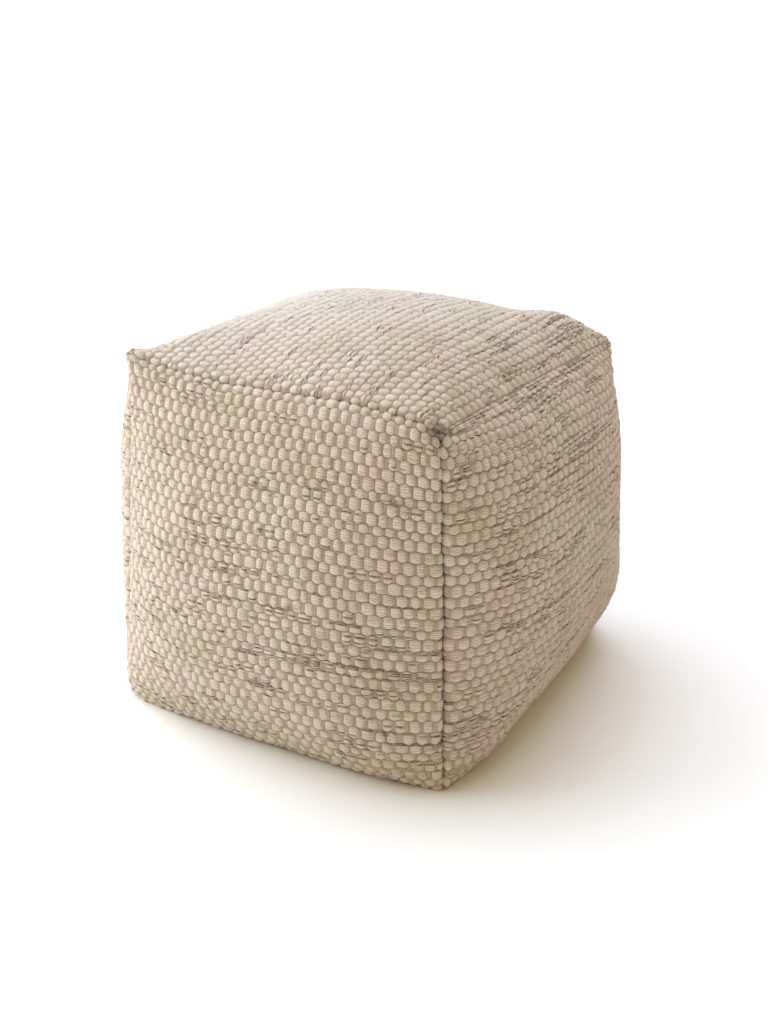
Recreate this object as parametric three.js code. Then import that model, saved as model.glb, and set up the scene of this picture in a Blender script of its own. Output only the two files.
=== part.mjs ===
// Cube pouf stool: a filled cube of thick handwoven cloth, standing on its base.
// Two square panels, front and back, are sewn to one long boxing strip that runs
// over the right side, the top, the left side and the base. The strip turns the
// corner in soft folds, and the two panels meet it in pinched seams.
// Units are millimetres, +Z up. +X is to the right along the front, -Y is the front,
// and the origin is the middle of the pouf on the surface it stands on.

import * as THREE from "three";
import { mergeVertices } from "three/addons/utils/BufferGeometryUtils.js";

// ---------------------------------------------------------------- driving sizes
const WIDTH = 430; // corner to corner along the front
const DEPTH = 445; // corner to corner, front to back
const HEIGHT = 403; // floor to the top corners
const CLOTH = 8; // thickness of the woven cloth of a sewn-on panel
const GAP = 0.3; // clearance between a panel and what it is sewn to
const SEAM_DEPTH = 5; // how far a seam is pinched below the faces it joins
const SEAM_REACH = 11; // how far from a seam the cloth starts to roll into it
const FOLD_DEPTH = 5.5; // how much a fold of the strip is rounded off
const FOLD_REACH = 48; // how far from a fold the rounding starts
const CELLS = 20; // mesh cells along each edge of a face
const LEAST_RISE = 0.004; // keeps the belly's lowest slope finite

// The cloth bellies out between its seams and folds. "crown" is the greatest rise in mm,
// "round" and "full" shape it across, "low" and "high" shape it upwards: the belly hangs
// lowest where "low" is small, and "middle" below 1 moves it towards the face's start.
const BELLY = {
  panel: { crown: 55, round: 2.6, full: 0.86, low: 0.49, high: 0.78, middle: 1 },
  side: { crown: 64, round: 2.9, full: 0.9, low: 0.66, high: 0.68, middle: 0.93 },
  top: { crown: 34, round: 2.7, full: 0.95, low: 0.88, high: 0.66, middle: 1 },
};

// The eight corners: which way each lies, and how far the filling and the sewing have
// pushed it off a true box, in mm. "ear" is a corner that stands out (+) or is tucked in (-).
const CORNERS = {
  rightFrontTop: { side: [1, -1, 1], off: [-5, -1, 0], ear: -12 },
  rightFrontFoot: { side: [1, -1, 0], off: [18, -28, 0], ear: 0 },
  leftFrontTop: { side: [-1, -1, 1], off: [14, 12, 18], ear: 7 },
  leftFrontFoot: { side: [-1, -1, 0], off: [8, -27, 0], ear: -6 },
  rightBackTop: { side: [1, 1, 1], off: [0, 0, -11], ear: 2 },
  rightBackFoot: { side: [1, 1, 0], off: [-1, -4, 0], ear: 0 },
  leftBackTop: { side: [-1, 1, 1], off: [-1, -3, -3], ear: 4 },
  leftBackFoot: { side: [-1, 1, 0], off: [0, 0, 0], ear: 0 },
};
const EAR_REACH = 18; // how far along the cloth an ear or a tucked corner reaches

// Bow of each edge, in mm, outwards from the straight line between its corners.
const BOW = { upright: 5, frontLeft: -4, frontTop: 0, backTop: 18, sideTop: 0, panelFoot: 6, sideFoot: 4 };
const FRONT_TOP_SWAY = -6; // the front top seam also dips on its left half and rises on its right

// Lumps of filling and soft creases: the face, where on it (0 to 1 along and up), the
// reach in mm along and up, and the rise in mm (negative for a crease).
const LUMPS = [
  { face: "front", along: 0.86, up: 0.05, reach: [70, 50], rise: 12 },
  { face: "right", along: 0.12, up: 0.05, reach: [60, 45], rise: 12 },
  { face: "top", along: 0.92, up: 0.91, reach: [55, 50], rise: 20 },
  { face: "front", along: 0.18, up: 0.95, reach: [60, 12], rise: -4 },
  { face: "front", along: 0.5, up: 0.8, reach: [150, 60], rise: -3 },
  { face: "top", along: 0.06, up: 0.16, reach: [9, 55], rise: -5 },
  { face: "top", along: 0.09, up: 0.9, reach: [12, 40], rise: -4 },
  { face: "right", along: 0.1, up: 0.94, reach: [45, 9], rise: -4 },
  { face: "right", along: 0.93, up: 0.2, reach: [45, 70], rise: 15 },
  { face: "right", along: 0.88, up: 0.8, reach: [60, 70], rise: 5 },
  { face: "right", along: 0.9, up: 0.4, reach: [60, 120], rise: 5 },
  { face: "top", along: 0.72, up: 0.2, reach: [90, 90], rise: 6 },
  { face: "left", along: 0.07, up: 0.5, reach: [28, 130], rise: 8 },
  { face: "left", along: 0.1, up: 0.8, reach: [45, 80], rise: 9 },
  { face: "back", along: 0.7, up: 0.35, reach: [110, 80], rise: 3 },
];

// ------------------------------------------------------------------ small helpers
const add = (a, b, k = 1) => [a[0] + k * b[0], a[1] + k * b[1], a[2] + k * b[2]];
const mix = (a, b, t) => [a[0] + t * (b[0] - a[0]), a[1] + t * (b[1] - a[1]), a[2] + t * (b[2] - a[2])];
const length = (a) => Math.hypot(a[0], a[1], a[2]);
const unit = (a) => a.map((c) => c / length(a));
const arch = (t) => 4 * t * (1 - t);
const roll = (distance, reach) => Math.max(0, 1 - distance / reach) ** 2;

function cornerPoint(name) {
  const { side, off } = CORNERS[name];
  return [
    (side[0] * WIDTH) / 2 + off[0],
    (side[1] * DEPTH) / 2 + off[1],
    side[2] * HEIGHT + off[2],
  ];
}

// An edge runs between two corners, bows outwards along a unit direction, and may sway:
// up or down by one wave from end to end.
function edge(from, to, bow, outwards, sway = 0) {
  const [a, b, out] = [cornerPoint(from), cornerPoint(to), unit(outwards)];
  const wave = (t) => [0, 0, sway * Math.sin(2 * Math.PI * t)];
  return (t) => add(add(mix(a, b, t), out, bow * arch(t)), wave(t));
}

const EDGES = {
  frontRight: edge("rightFrontFoot", "rightFrontTop", BOW.upright, [1, -1, 0]),
  frontLeft: edge("leftFrontFoot", "leftFrontTop", BOW.frontLeft, [-1, -1, 0]),
  backRight: edge("rightBackFoot", "rightBackTop", BOW.upright, [1, 1, 0]),
  backLeft: edge("leftBackFoot", "leftBackTop", BOW.upright, [-1, 1, 0]),
  frontTop: edge("leftFrontTop", "rightFrontTop", BOW.frontTop, [0, -1, 1], FRONT_TOP_SWAY),
  backTop: edge("leftBackTop", "rightBackTop", BOW.backTop, [0, 1, 1]),
  rightTop: edge("rightFrontTop", "rightBackTop", BOW.sideTop, [1, 0, 1]),
  leftTop: edge("leftFrontTop", "leftBackTop", BOW.sideTop, [-1, 0, 1]),
  frontFoot: edge("leftFrontFoot", "rightFrontFoot", BOW.panelFoot, [0, -1, 0]),
  backFoot: edge("leftBackFoot", "rightBackFoot", BOW.panelFoot, [0, 1, 0]),
  rightFoot: edge("rightFrontFoot", "rightBackFoot", BOW.sideFoot, [1, 0, 0]),
  leftFoot: edge("leftFrontFoot", "leftBackFoot", BOW.sideFoot, [-1, 0, 0]),
};

// Each face: its edges at along = 0 and 1 (start, end) and at up = 0 and 1 (foot, head),
// the way it faces, its rough size along and up, its belly, and whether all its edges
// are seams or only its ends. On the strip's four faces "along" runs from the front
// seam to the back one.
const FACES = {
  front: {
    edges: ["frontLeft", "frontRight", "frontFoot", "frontTop"],
    out: [0, -1, 0], size: [WIDTH, HEIGHT], belly: BELLY.panel, seams: "all",
  },
  back: {
    edges: ["backLeft", "backRight", "backFoot", "backTop"],
    out: [0, 1, 0], size: [WIDTH, HEIGHT], belly: BELLY.panel, seams: "all",
  },
  right: {
    edges: ["frontRight", "backRight", "rightFoot", "rightTop"],
    out: [1, 0, 0], size: [DEPTH, HEIGHT], belly: BELLY.side, seams: "ends",
  },
  left: {
    edges: ["frontLeft", "backLeft", "leftFoot", "leftTop"],
    out: [-1, 0, 0], size: [DEPTH, HEIGHT], belly: BELLY.side, seams: "ends",
  },
  top: {
    edges: ["frontTop", "backTop", "leftTop", "rightTop"],
    out: [0, 0, 1], size: [DEPTH, WIDTH], belly: BELLY.top, seams: "ends",
  },
  base: {
    edges: ["frontFoot", "backFoot", "leftFoot", "rightFoot"],
    out: [0, 0, -1], size: [DEPTH, WIDTH], belly: null, seams: "ends",
  },
};

// Rise of the belly at (along, up), from 0 at the edges to 1 at its fullest.
function bellyRise({ round, full, low, high, middle }, along, up) {
  const across = Math.max(0, 1 - Math.abs(2 * along ** middle - 1) ** round) ** full;
  const climb = (t) => ((t + LEAST_RISE) ** low - LEAST_RISE ** low) * Math.max(0, 1 - t) ** high;
  return (across * climb(up)) / climb(low / (low + high));
}

// The way out of the pouf at a point, which is the same for the faces that meet there.
const SQUARENESS = 5; // how soon, nearing an edge, the way out turns to its diagonal

function wayOut(p) {
  const share = [p[0] / (WIDTH / 2), p[1] / (DEPTH / 2), (2 * p[2]) / HEIGHT - 1];
  return unit(share.map((s) => Math.sign(s) * Math.abs(s) ** SQUARENESS));
}

// A point on the outside of the cloth: the patch between the four edges, raised by the
// belly and the lumps, then pinched in at the seams, rounded at the folds and drawn
// out or in at the corners.
function clothPoint(faceName, along, up) {
  const { edges, out, belly, seams, size } = FACES[faceName];
  const [start, end, foot, head] = edges.map((name) => EDGES[name]);
  const acrossPatch = mix(start(up), end(up), along);
  const upPatch = mix(foot(along), head(along), up);
  const cornersPatch = mix(mix(start(0), end(0), along), mix(start(1), end(1), along), up);
  const flat = add(add(acrossPatch, upPatch), cornersPatch, -1);

  // Every lump fades to nothing at the edges, which the next face shares.
  const fade = Math.min(1, 2 * Math.sqrt(arch(along) * arch(up)));
  let rise = belly ? belly.crown * bellyRise(belly, along, up) : 0;
  for (const lump of LUMPS) {
    if (lump.face !== faceName) continue;
    const a = ((along - lump.along) * size[0]) / lump.reach[0];
    const u = ((up - lump.up) * size[1]) / lump.reach[1];
    rise += lump.rise * fade * Math.exp(-(a * a + u * u));
  }

  const fromEnds = Math.min(along, 1 - along) * size[0];
  const fromSides = Math.min(up, 1 - up) * size[1];
  const endRoll = roll(fromEnds, SEAM_REACH);
  const sideRoll = seams === "all" ? roll(fromSides, SEAM_REACH) : 0;
  const seam = SEAM_DEPTH * (1 - (1 - endRoll) * (1 - sideRoll));
  const isTopFold = faceName === "top" || ((faceName === "right" || faceName === "left") && up > 0.5);
  const fold = isTopFold ? FOLD_DEPTH * roll(fromSides, FOLD_REACH) * (1 - endRoll) : 0;

  let ear = 0;
  for (const name of Object.keys(CORNERS)) {
    const away = length(add(flat, cornerPoint(name), -1));
    ear += CORNERS[name].ear * Math.exp(-((away / EAR_REACH) ** 2));
  }
  return add(add(flat, out, rise), wayOut(flat), ear - seam - fold);
}

// ------------------------------------------------------------------------- meshes
// Stations along an edge, closer together near both ends where the cloth turns.
const CROWDING = 0.65; // 0 is evenly spaced, 1 is crowded hard against the ends
const STATIONS = Array.from({ length: CELLS + 1 }, (_, i) => {
  const t = i / CELLS;
  return Math.min(1, t + CROWDING * (0.5 - 0.5 * Math.cos(Math.PI * t) - t));
});

function faceGrid(faceName) {
  return STATIONS.map((along) => STATIONS.map((up) => clothPoint(faceName, along, up)));
}

// Triangles of a grid of points, turned so that they face the way "out".
function gridTriangles(grid, out) {
  const triangles = [];
  const [a, b, c] = [grid[0][0], grid[CELLS][0], grid[0][CELLS]];
  const [e, f] = [add(b, a, -1), add(c, a, -1)];
  const normal = [e[1] * f[2] - e[2] * f[1], e[2] * f[0] - e[0] * f[2], e[0] * f[1] - e[1] * f[0]];
  const facesOut = normal[0] * out[0] + normal[1] * out[1] + normal[2] * out[2] > 0;
  for (let i = 0; i < CELLS; i++)
    for (let j = 0; j < CELLS; j++) {
      const [p, q, r, s] = [grid[i][j], grid[i + 1][j], grid[i + 1][j + 1], grid[i][j + 1]];
      // The shorter diagonal follows the corners best, and mirrored cells stay alike.
      const split = (i < CELLS / 2) === (j < CELLS / 2);
      const pair = split ? [[p, q, r], [p, r, s]] : [[p, q, s], [q, r, s]];
      for (const t of pair) triangles.push(facesOut ? t : [t[0], t[2], t[1]]);
    }
  return triangles;
}

// The border of a grid, once round.
function border(grid) {
  const ring = [];
  for (let i = 0; i < CELLS; i++) ring.push(grid[i][0]);
  for (let j = 0; j < CELLS; j++) ring.push(grid[CELLS][j]);
  for (let i = CELLS; i > 0; i--) ring.push(grid[i][CELLS]);
  for (let j = CELLS; j > 0; j--) ring.push(grid[0][j]);
  return ring;
}

// A band of triangles between two rings of the same length.
function band(ringA, ringB, flip) {
  const triangles = [];
  ringA.forEach((a, i) => {
    const k = (i + 1) % ringA.length;
    const pair = [[a, ringA[k], ringB[k]], [a, ringB[k], ringB[i]]];
    for (const t of pair) triangles.push(flip ? [t[0], t[2], t[1]] : t);
  });
  return triangles;
}

function meshOf(name, triangles, material) {
  const geometry = new THREE.BufferGeometry();
  geometry.setAttribute("position", new THREE.Float32BufferAttribute(triangles.flat(2), 3));
  const merged = mergeVertices(geometry, 1e-4);
  merged.computeVertexNormals();
  const mesh = new THREE.Mesh(merged, material);
  mesh.name = name;
  return mesh;
}

// A sewn-on panel is the cloth itself: its outside, and its inside one cloth further in.
// Its rim stands GAP clear of the strip, so its outermost points are drawn back a little.
const RIM_BACK = 2 * GAP;

function drawnBack(grid) {
  const last = CELLS;
  return grid.map((column, i) =>
    column.map((point, j) => {
      const inward = [Math.min(Math.max(i, 1), last - 1), Math.min(Math.max(j, 1), last - 1)];
      const next = grid[inward[0]][inward[1]];
      const step = length(add(next, point, -1));
      return step > 0 ? mix(point, next, RIM_BACK / step) : point;
    }),
  );
}

function shifted(grid, way, distance) {
  return grid.map((column) => column.map((point) => add(point, way, distance)));
}

function panelMesh(name, faceName, material) {
  const { out } = FACES[faceName];
  const inwards = out.map((c) => -c);
  const outside = drawnBack(faceGrid(faceName));
  const inside = shifted(outside, inwards, CLOTH);
  const triangles = [
    ...gridTriangles(outside, out),
    ...gridTriangles(inside, inwards),
    ...band(border(outside), border(inside), out[1] < 0),
  ];
  return meshOf(name, triangles, material);
}

// The boxing strip with the filling that it wraps: the strip's four faces outside, and
// at the front and back the filling, domed to lie just inside each panel.
function stripMesh(name, material) {
  const triangles = [];
  for (const faceName of ["right", "top", "left", "base"])
    triangles.push(...gridTriangles(faceGrid(faceName), FACES[faceName].out));
  for (const faceName of ["front", "back"]) {
    const { out } = FACES[faceName];
    const seamGrid = faceGrid(faceName);
    const filling = shifted(seamGrid, out, -(CLOTH + GAP));
    triangles.push(...gridTriangles(filling, out));
    triangles.push(...band(border(seamGrid), border(filling), out[1] > 0));
  }
  return meshOf(name, triangles, material);
}

// ---------------------------------------------------------------------- materials
const wovenWool = (color) => new THREE.MeshStandardMaterial({ color, roughness: 0.95, metalness: 0 });

const pouf = new THREE.Group();
pouf.name = "cube_pouf";
pouf.add(stripMesh("boxing_strip", wovenWool(0xcdbfa6)));
pouf.add(panelMesh("front_panel", "front", wovenWool(0xd6c9b1)));
pouf.add(panelMesh("back_panel", "back", wovenWool(0xd6c9b1)));

// The belly and the lumps are a little uneven, so the pouf is set with the middle of its
// outside on the origin.
const middle = new THREE.Box3().setFromObject(pouf).getCenter(new THREE.Vector3());
for (const mesh of pouf.children) mesh.geometry.translate(-middle.x, -middle.y, 0);

export default pouf;
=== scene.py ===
# %% [markdown]
# # A cube pouf in thick handwoven wool
# The real pouf is a bag of cloth, stuffed until it stands up by itself. Two square panels,
# front and back, are sewn to one long boxing strip that runs over the right side, the top,
# the left side and the base. The cloth is so coarse that every pebble of its weave shows.
# The lesson makes the filled shape first, lets Blender's cloth solver blow it up, and then
# lays the weave on the result, pebble by pebble, as real geometry.

import bpy
import numpy as np
from mathutils import Matrix, Vector


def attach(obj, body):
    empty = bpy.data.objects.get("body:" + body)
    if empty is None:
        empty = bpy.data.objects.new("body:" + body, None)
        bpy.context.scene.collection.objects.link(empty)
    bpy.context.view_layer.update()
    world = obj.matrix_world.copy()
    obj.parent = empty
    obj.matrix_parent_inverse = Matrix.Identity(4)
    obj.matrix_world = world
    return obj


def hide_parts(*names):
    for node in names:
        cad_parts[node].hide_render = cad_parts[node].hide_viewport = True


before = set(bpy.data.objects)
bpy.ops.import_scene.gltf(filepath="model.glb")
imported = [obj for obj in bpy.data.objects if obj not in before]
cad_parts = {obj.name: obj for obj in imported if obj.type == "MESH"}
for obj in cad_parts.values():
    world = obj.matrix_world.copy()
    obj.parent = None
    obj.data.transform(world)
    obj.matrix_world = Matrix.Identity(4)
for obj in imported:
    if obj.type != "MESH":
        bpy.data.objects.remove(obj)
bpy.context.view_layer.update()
MM = 0.001  # one millimetre in Blender's metres

# %% [markdown]
# ## The corners and edges of the bag
# A stuffed cube is not a cube: its corners are pushed about by the filling and the sewing.
# Eight corners and twelve bowed edges hold its character, so they come first, as a short
# table. All shapes below are worked out in millimetres.

# %% Corners
WIDTH, DEPTH, HEIGHT = 430.0, 445.0, 403.0  # corner to corner across, front to back, and up
CORNERS = {  # how far it is pushed off a true box, and how far it stands out, in mm
    "right_front_top": ((-5, -1, 0), -12),
    "right_front_foot": ((18, -28, 0), 0),
    "left_front_top": ((14, 12, 18), 7),
    "left_front_foot": ((8, -27, 0), -6),
    "right_back_top": ((0, 0, -11), 2),
    "right_back_foot": ((-1, -4, 0), 0),
    "left_back_top": ((-1, -3, -3), 4),
    "left_back_foot": ((0, 0, 0), 0),
}
UNDER_WEAVE = 3.0  # mm that the bag lies inside the outline, which the pebbles then reach
SIDES = {"right": (1, 0, 0), "left": (-1, 0, 0), "front": (0, -1, 0), "back": (0, 1, 0)}
SIDES |= {"top": (0, 0, 1), "foot": (0, 0, 0), "base": (0, 0, -1)}


def way(name):
    """Which way a corner, an edge or a face lies: the sum of the sides in its name."""
    return np.sum([SIDES[side] for side in name.split("_")], axis=0)


def corner(name):
    """A corner of the box, plus what pushes it off, less the weave's height all round."""
    return way(name) * (WIDTH / 2, DEPTH / 2, HEIGHT) + CORNERS[name][0] - way(name) * UNDER_WEAVE


# %% Edges
EDGES = {  # from corner, to corner, and its bow in mm
    "front_right": ("right_front_foot", "right_front_top", 5),
    "front_left": ("left_front_foot", "left_front_top", -4),
    "back_right": ("right_back_foot", "right_back_top", 5),
    "back_left": ("left_back_foot", "left_back_top", 5),
    "front_top": ("left_front_top", "right_front_top", 0),
    "back_top": ("left_back_top", "right_back_top", 18),
    "right_top": ("right_front_top", "right_back_top", 0),
    "left_top": ("left_front_top", "left_back_top", 0),
    "front_foot": ("left_front_foot", "right_front_foot", 6),
    "back_foot": ("left_back_foot", "right_back_foot", 6),
    "right_foot": ("right_front_foot", "right_back_foot", 4),
    "left_foot": ("left_front_foot", "left_back_foot", 4),
}
SWAYS = {"front_top": -6.0}  # mm upwards on an edge's first half, and downwards on its second


def unit(v):
    """Each vector divided by its length."""
    v = np.asarray(v, float)
    return v / np.linalg.norm(v, axis=-1, keepdims=True)


def edge(name, t):
    """Points at t on an edge: the straight line between its corners, plus bow * 4t(1 - t)
    outwards, plus sway * sin(2 pi t) upwards."""
    start, end, bow = EDGES[name]
    t = np.asarray(t, float)[..., None]
    bowed = corner(start) * (1 - t) + corner(end) * t + unit(way(name)) * (bow * 4 * t * (1 - t))
    return bowed + np.array([0, 0, SWAYS.get(name, 0.0)]) * np.sin(2 * np.pi * t)


# %% [markdown]
# ## Six faces with a belly
# Each face is a patch stretched between four edges. The filling bellies it out: fullest in
# the middle, and lower down on the sides, where the stuffing sinks. A few lumps and soft
# creases make it uneven, as hand stuffing does.

# %% Faces
PANEL = {"crown": 55, "round": 2.6, "full": 0.86, "low": 0.49, "high": 0.78, "middle": 1}
SIDE = {"crown": 64, "round": 2.9, "full": 0.9, "low": 0.66, "high": 0.68, "middle": 0.93}
TOP = {"crown": 34, "round": 2.7, "full": 0.95, "low": 0.88, "high": 0.66, "middle": 1}
LEAST_RISE = 0.004  # keeps the belly's lowest slope finite
FACES = {  # its start, end, foot and head edges, and its belly
    "front": (("front_left", "front_right", "front_foot", "front_top"), PANEL),
    "back": (("back_left", "back_right", "back_foot", "back_top"), PANEL),
    "right": (("front_right", "back_right", "right_foot", "right_top"), SIDE),
    "left": (("front_left", "back_left", "left_foot", "left_top"), SIDE),
    "top": (("front_top", "back_top", "left_top", "right_top"), TOP),
    "base": (("front_foot", "back_foot", "left_foot", "right_foot"), None),
}
LIKE = {"back": "front", "left": "right", "base": "top"}  # opposite faces, which match in size
FACE_SIZE = {"front": (WIDTH, HEIGHT), "right": (DEPTH, HEIGHT), "top": (DEPTH, WIDTH)}
FACE_SIZE |= {face: FACE_SIZE[other] for face, other in LIKE.items()}
LUMPS = {  # where along and up, reach in mm along and up, and rise in mm
    "front": [
        (0.86, 0.05, 70, 50, 12), (0.18, 0.95, 60, 12, -4), (0.5, 0.8, 150, 60, -3),
    ],
    "right": [
        (0.12, 0.05, 60, 45, 12), (0.1, 0.94, 45, 9, -4), (0.93, 0.2, 45, 70, 15),
        (0.88, 0.8, 60, 70, 5), (0.9, 0.4, 60, 120, 5),
    ],
    "top": [
        (0.92, 0.91, 55, 50, 20), (0.06, 0.16, 9, 55, -5), (0.09, 0.9, 12, 40, -4),
        (0.72, 0.2, 90, 90, 6),
    ],
    "left": [
        (0.07, 0.5, 28, 130, 8), (0.1, 0.8, 45, 80, 9),
    ],
    "back": [
        (0.7, 0.35, 110, 80, 3),
    ],
}
LUMP_FADE = 8  # how soon a lump is whole, coming in from the face's edges


def patch(face, along, up):
    """The surface stretched between four edges: each pair blended across, minus the
    blend of the four corners that both pairs hold."""
    start, end, foot, head = FACES[face][0]
    a, u = along[..., None], up[..., None]
    across = (1 - a) * edge(start, up) + a * edge(end, up)
    upward = (1 - u) * edge(foot, along) + u * edge(head, along)
    low = (1 - a) * edge(start, 0) + a * edge(end, 0)
    high = (1 - a) * edge(start, 1) + a * edge(end, 1)
    return across + upward - ((1 - u) * low + u * high)


def climb(belly, t):
    """t to the power low, times (1 - t) to the power high: fullest below the middle."""
    rise = (t + LEAST_RISE) ** belly["low"] - LEAST_RISE ** belly["low"]
    return rise * np.maximum(0, 1 - t) ** belly["high"]


def belly_rise(belly, along, up):
    """How far the filling pushes a face out, in mm: crown * across * climb."""
    bend = np.abs(2 * along ** belly["middle"] - 1) ** belly["round"]
    across = np.maximum(0, 1 - bend) ** belly["full"]
    fullest = belly["low"] / (belly["low"] + belly["high"])
    return belly["crown"] * across * climb(belly, up) / climb(belly, fullest)


def lump_rise(face, along, up):
    """The sum of the face's lumps, each a bell curve that fades out at the face's edges."""
    wide, tall = FACE_SIZE[face]
    fade = np.minimum(1, LUMP_FADE * np.sqrt(np.maximum(0, along * (1 - along) * up * (1 - up))))
    rise = np.zeros(np.broadcast(along, up).shape)
    for at, high, reach_along, reach_up, height in LUMPS.get(face, ()):
        a, u = (along - at) * wide / reach_along, (up - high) * tall / reach_up
        rise += height * fade * np.exp(-(a * a) - u * u)
    return rise


def filled(face, along, up, fullness=1.0):
    """A face of the stuffed bag: its patch, pushed out by its belly and its lumps."""
    belly = FACES[face][1]
    if belly is None:
        return patch(face, along, up)
    rise = fullness * belly_rise(belly, along, up) + lump_rise(face, along, up)
    return patch(face, along, up) + way(face) * rise[..., None]


# %% [markdown]
# ## Even spacing along the cloth
# Cloth has the same number of threads everywhere, so the grid that carries the weave has
# to be evenly spaced along the cloth itself, not along the box. The bulge is measured once
# across, once front to back and once upwards, and the stations are spread by length.

# %% Stations
PLACES_MEASURED = np.linspace(0, 1, 401)  # along each measured line
LINES_MEASURED = np.linspace(0.1, 0.9, 9)  # where the lines lie, from edge to edge


def even_stations(face, axis):
    """The measured places, how much of the cloth lies before each, from 0 to 1, and the
    cloth's length in mm: the steps along the bulged lines, averaged and summed."""
    along, up = np.meshgrid(PLACES_MEASURED, LINES_MEASURED, indexing="ij")
    points = filled(face, along, up) if axis == "along" else filled(face, up, along)
    steps = np.linalg.norm(np.diff(points, axis=0), axis=-1).mean(axis=1)
    walked = np.concatenate([[0], np.cumsum(steps)])
    return PLACES_MEASURED, walked / walked[-1], walked[-1]


ACROSS, BACKWARDS = even_stations("front", "along"), even_stations("right", "along")
UPWARDS = even_stations("front", "up")
STATIONS = {"front": (ACROSS, UPWARDS), "right": (BACKWARDS, UPWARDS), "top": (BACKWARDS, ACROSS)}
STATIONS |= {face: STATIONS[other] for face, other in LIKE.items()}


def stand(face, s, t):
    """Cloth places s, t turned into the box's along and up."""
    (fine_a, walked_a, _), (fine_u, walked_u, _) = STATIONS[face]
    return np.interp(s, walked_a, fine_a), np.interp(t, walked_u, fine_u)


print("cloth across, backwards and up in mm:", [round(x[2], 1) for x in (ACROSS, BACKWARDS, UPWARDS)])

# %% [markdown]
# ## Blow the bag up
# The formula gives a fair shape, but a stuffed bag pulls tight between its corners in a way
# that no formula knows. So the six faces are welded into one closed bag, a little slack,
# and the cloth solver puffs it up with pressure. The seams are held firmly, the folds
# loosely and the base not at all free, because it presses on the floor.

# %% The welded bag
CELLS = 44  # cells along each edge of a face
SLACK = 0.94  # the belly before the pressure, as a share of the full one
WELD = 0.05  # mm within which two points are made one


def grid_quads(rows, columns):
    """The four corners of every cell of a grid whose points are numbered row by row."""
    first = np.arange((rows - 1) * columns).reshape(rows - 1, columns)[:, :-1].ravel()
    return np.stack([first, first + columns, first + columns + 1, first + 1], axis=1)


def faces_outwards(face, points, quads):
    """True if the quads' own normals point the way that the face does."""
    p, q, r = (points.reshape(-1, 3)[quads[:, i]] for i in (0, 1, 3))
    return (np.cross(q - p, r - p) @ way(face)).sum() > 0


def welded_bag():
    """All six faces, each an even grid on its cloth, in one list of points, with those at
    shared edges made one."""
    points, quads, even = [], [], np.linspace(0, 1, CELLS + 1)
    s, t = np.meshgrid(even, even, indexing="ij")
    for number, face in enumerate(FACES):
        grid = filled(face, *stand(face, s, t), SLACK)
        cells = grid_quads(CELLS + 1, CELLS + 1)
        if not faces_outwards(face, grid, cells):
            cells = cells[:, ::-1]
        points.append(grid.reshape(-1, 3))
        quads.append(cells + number * (CELLS + 1) ** 2)
    points = np.concatenate(points)
    close = np.round(points / WELD).astype(int)
    _, first, number = np.unique(close, axis=0, return_index=True, return_inverse=True)
    number = number.ravel()
    return points[first], number[np.concatenate(quads)], number


bag_points, bag_quads, bag_number = welded_bag()
print("bag:", len(bag_points), "points,", len(bag_quads), "cells")

# %% Hold the seams and the base
HOLD = {"seam": 0.7, "fold": 0.08, "base": 1.0}


def hold_weights():
    """How firmly each point of the bag is held, from 0, free, to 1, fixed."""
    every = []
    for face in FACES:
        weight = np.zeros((CELLS + 1, CELLS + 1))
        weight[:, 0] = weight[:, -1] = HOLD["seam" if face in ("front", "back") else "fold"]
        weight[0] = weight[-1] = HOLD["seam"]
        every.append(weight.ravel() if face != "base" else np.full(weight.size, HOLD["base"]))
    weights = np.zeros(len(bag_points))
    np.maximum.at(weights, bag_number, np.concatenate(every))
    return weights


# %% Puff it up with the cloth solver
LAST_FRAME = 20
MOST_MOVE = 9.0  # mm that a point may move
FILLED_CLOTH = {  # light, rather stiff, and pressed on from inside
    "quality": 6,
    "mass": 0.4,
    "tension_stiffness": 25,
    "compression_stiffness": 25,
    "shear_stiffness": 12,
    "bending_stiffness": 1.5,
    "use_pressure": True,
    "uniform_pressure_force": 4.0,
    "vertex_group_mass": "held",
}


def puffed(points, quads, weights):
    """The bag after some frames of pressure without gravity, each move capped."""
    mesh = bpy.data.meshes.new("bag")
    mesh.from_pydata((points * MM).tolist(), [], quads.tolist())
    bag = bpy.data.objects.new("bag", mesh)
    bpy.context.scene.collection.objects.link(bag)
    group = bag.vertex_groups.new(name="held")
    for level in np.unique(weights[weights > 0]):
        group.add(np.flatnonzero(weights == level).tolist(), float(level), "REPLACE")
    cloth = bag.modifiers.new("filling", "CLOTH")
    for name, setting in FILLED_CLOTH.items():
        setattr(cloth.settings, name, setting)
    cloth.settings.effector_weights.gravity = 0
    cloth.collision_settings.use_collision = False
    cloth.point_cache.frame_start = 1
    cloth.point_cache.frame_end = LAST_FRAME
    for number in range(1, LAST_FRAME + 1):
        bpy.context.scene.frame_set(number)
    settled = bag.evaluated_get(bpy.context.evaluated_depsgraph_get())
    moved = np.empty(len(points) * 3)
    settled.data.vertices.foreach_get("co", moved)
    bpy.context.scene.frame_set(1)
    bpy.data.objects.remove(bag)
    bpy.data.meshes.remove(mesh)
    move = moved.reshape(-1, 3) / MM - points
    far = np.linalg.norm(move, axis=1, keepdims=True)
    print("moved by", np.round(np.percentile(far, [50, 90, 100]), 1), "mm")
    return points + move * np.minimum(1, MOST_MOVE / np.maximum(far, 1e-6))


bag_points = puffed(bag_points, bag_quads, hold_weights())
CLOTH = {  # the settled bag, one grid of points for each face
    face: part.reshape(CELLS + 1, CELLS + 1, 3)
    for face, part in zip(FACES, np.split(bag_points[bag_number], len(FACES)))
}

# %% [markdown]
# ## Read the settled cloth anywhere
# The settled bag is known at grid points only. A cubic blend of the sixteen nearest points
# gives a smooth place for any spot on the cloth, so the weave can be as fine as it likes.

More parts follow.
